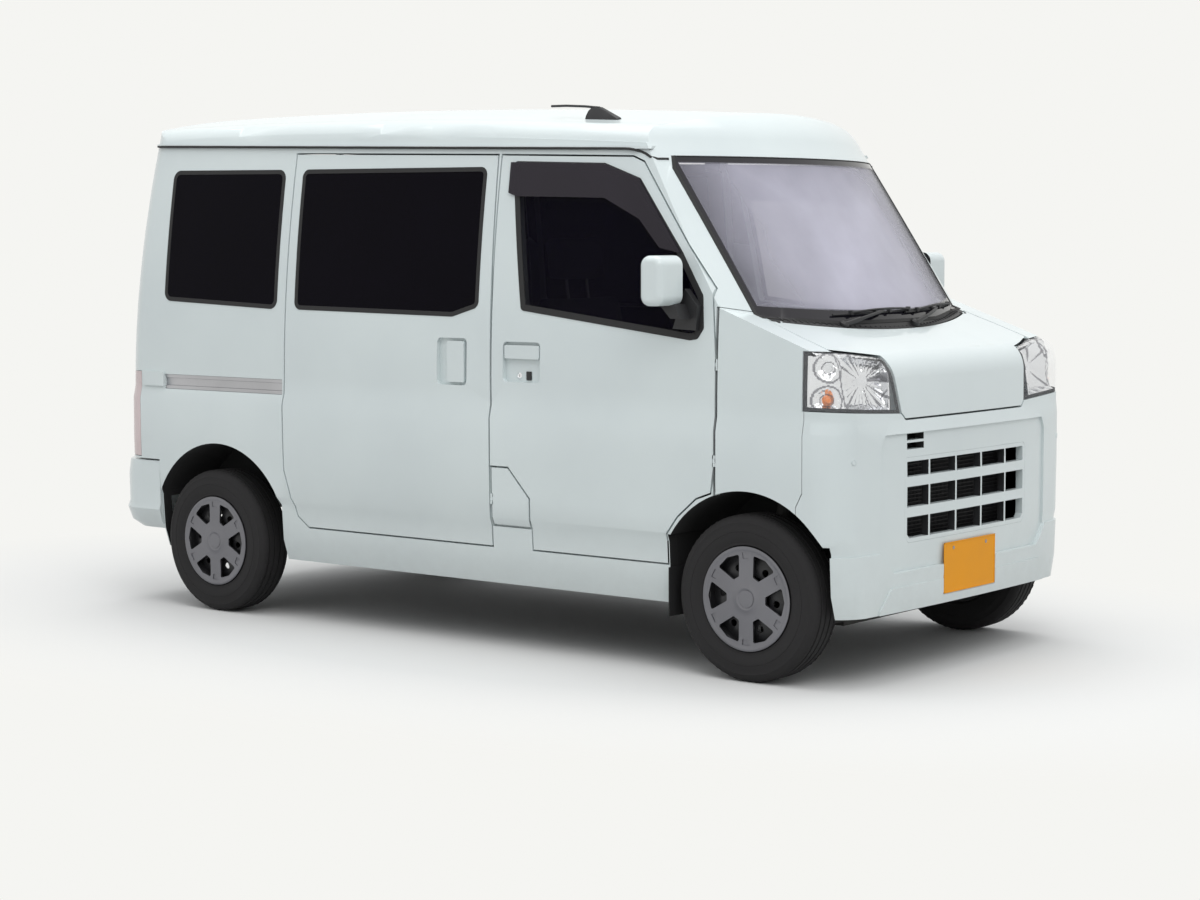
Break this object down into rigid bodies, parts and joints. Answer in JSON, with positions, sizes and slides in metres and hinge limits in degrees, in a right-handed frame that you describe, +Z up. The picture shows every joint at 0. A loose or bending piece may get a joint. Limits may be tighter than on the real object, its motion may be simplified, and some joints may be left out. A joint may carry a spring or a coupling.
{
  "type": "kei van",
  "caption": "Short tall one-box van with sliding side doors, a stub bonnet, a lift-up tailgate and small steel wheels.",
  "frame": {"origin": "on the ground, in the middle of the overall box", "axes": "+X towards the front, +Y towards the vehicle's left side, +Z up"},
  "size_m": [3.395, 1.752, 1.8898],
  "materials": {
    "black_plastic": "matte",
    "cast": "rough",
    "clear_glass": "clear",
    "grille_plastic": "gloss",
    "inner_metal": "satin",
    "lamp": "clear gloss",
    "paint": "gloss",
    "plate": "satin",
    "privacy_glass": "dark tint",
    "rail": "satin",
    "rubber": "matte",
    "seat": "woven",
    "smoked_plastic": "smoked",
    "steel": "plain",
    "tail_lamp": "gloss",
    "tyre": "matte",
    "wheel": "silver satin"
  },
  "bodies": {
    "body": {"roof": "paint", "side_frame_right": "paint", "side_frame_left": "paint", "front_fenders": "paint", "front_bumper": "paint", "grille": "grille_plastic", "rear_bumper": "paint", "windscreen": "clear_glass", "cowl_panel": "black_plastic", "floor_pan": "inner_metal", "engine": "cast", "propshaft": "steel", "fuel_tank": "black_plastic", "exhaust": "steel", "rear_axle": "cast", "front_suspension": "cast", "dashboard": "black_plastic", "front_seats": "seat", "rear_bench": "seat", "headlamps": "lamp", "tail_lamps": "tail_lamp", "sliding_door_right": "paint", "sliding_door_left": "paint", "side_glass": "privacy_glass", "door_rails": "rail", "mud_flaps": "rubber", "front_wipers": "black_plastic", "headlamp_lenses": "clear_glass", "front_plate": "plate", "roof_antenna": "black_plastic"},
    "bonnet": {"bonnet": "paint"},
    "front_door_right": {"front_door_right": "paint", "front_door_glass_right": "clear_glass", "door_mirror_right": "paint", "rain_visor_right": "smoked_plastic"},
    "front_door_left": {"front_door_left": "paint", "front_door_glass_left": "clear_glass", "door_mirror_left": "paint", "rain_visor_left": "smoked_plastic"},
    "tailgate": {"tailgate": "paint", "tailgate_glass": "privacy_glass", "rear_plate": "plate", "rear_wiper": "black_plastic"},
    "fuel_lid": {"fuel_lid": "paint"},
    "knuckle_right": {"knuckle_right": "cast"},
    "knuckle_left": {"knuckle_left": "cast"},
    "steering_wheel": {"steering_wheel": "black_plastic"},
    "wheel_front_right": {"tyre_front_right": "tyre", "rim_front_right": "wheel"},
    "wheel_front_left": {"tyre_front_left": "tyre", "rim_front_left": "wheel"},
    "wheel_rear_right": {"tyre_rear_right": "tyre", "rim_rear_right": "wheel"},
    "wheel_rear_left": {"tyre_rear_left": "tyre", "rim_rear_left": "wheel"}
  },
  "joints": [
    {"name": "steer_left", "type": "hinge", "parent": "body", "child": "knuckle_left", "pos_m": [1.305, 0.6, 0.165], "axis": [0, -0.2353, 0.9719], "range_deg": [-33, 33]},
    {"name": "steer_right", "type": "hinge", "parent": "body", "child": "knuckle_right", "pos_m": [1.305, -0.6, 0.165], "axis": [0, 0.2353, 0.9719], "range_deg": [-33, 33]},
    {"name": "steering_wheel_turn", "type": "hinge", "parent": "body", "child": "steering_wheel", "pos_m": [1, -0.35, 1.045], "axis": [-0.758, 0, 0.6522], "range_deg": [-528, 528]},
    {"name": "spin_front_left", "type": "hinge", "parent": "knuckle_left", "child": "wheel_front_left", "pos_m": [1.305, 0.6525, 0.268], "axis": [0, 1, 0], "continuous": true},
    {"name": "spin_front_right", "type": "hinge", "parent": "knuckle_right", "child": "wheel_front_right", "pos_m": [1.305, -0.6525, 0.268], "axis": [0, 1, 0], "continuous": true},
    {"name": "spin_rear_left", "type": "hinge", "parent": "body", "child": "wheel_rear_left", "pos_m": [-1.145, 0.6525, 0.268], "axis": [0, 1, 0], "continuous": true},
    {"name": "spin_rear_right", "type": "hinge", "parent": "body", "child": "wheel_rear_right", "pos_m": [-1.145, -0.6525, 0.268], "axis": [0, 1, 0], "continuous": true},
    {"name": "bonnet_lift", "type": "hinge", "parent": "body", "child": "bonnet", "pos_m": [1.33063, 0, 1.13625], "axis": [0, -1, 0], "range_deg": [0, 50]},
    {"name": "door_right_swing", "type": "hinge", "parent": "body", "child": "front_door_right", "pos_m": [1.1905, -0.735, 0.7], "axis": [0, 0.0475, 0.9989], "range_deg": [0, 65]},
    {"name": "door_left_swing", "type": "hinge", "parent": "body", "child": "front_door_left", "pos_m": [1.1905, 0.735, 0.7], "axis": [0, -0.0475, 0.9989], "range_deg": [-65, 0]},
    {"name": "tailgate_lift", "type": "hinge", "parent": "body", "child": "tailgate", "pos_m": [-1.587, 0, 1.7569], "axis": [0, 1, 0], "range_deg": [0, 85]},
    {"name": "fuel_lid_swing", "type": "hinge", "parent": "body", "child": "fuel_lid", "pos_m": [0.254, -0.734, 0.52], "axis": [0, 0, -1], "range_deg": [0, 80]}
  ],
  "couplings": [
    {"joint": "steer_right", "follows": "steer_left", "ratio": 1},
    {"joint": "steering_wheel_turn", "follows": "steer_left", "ratio": 16}
  ]
}
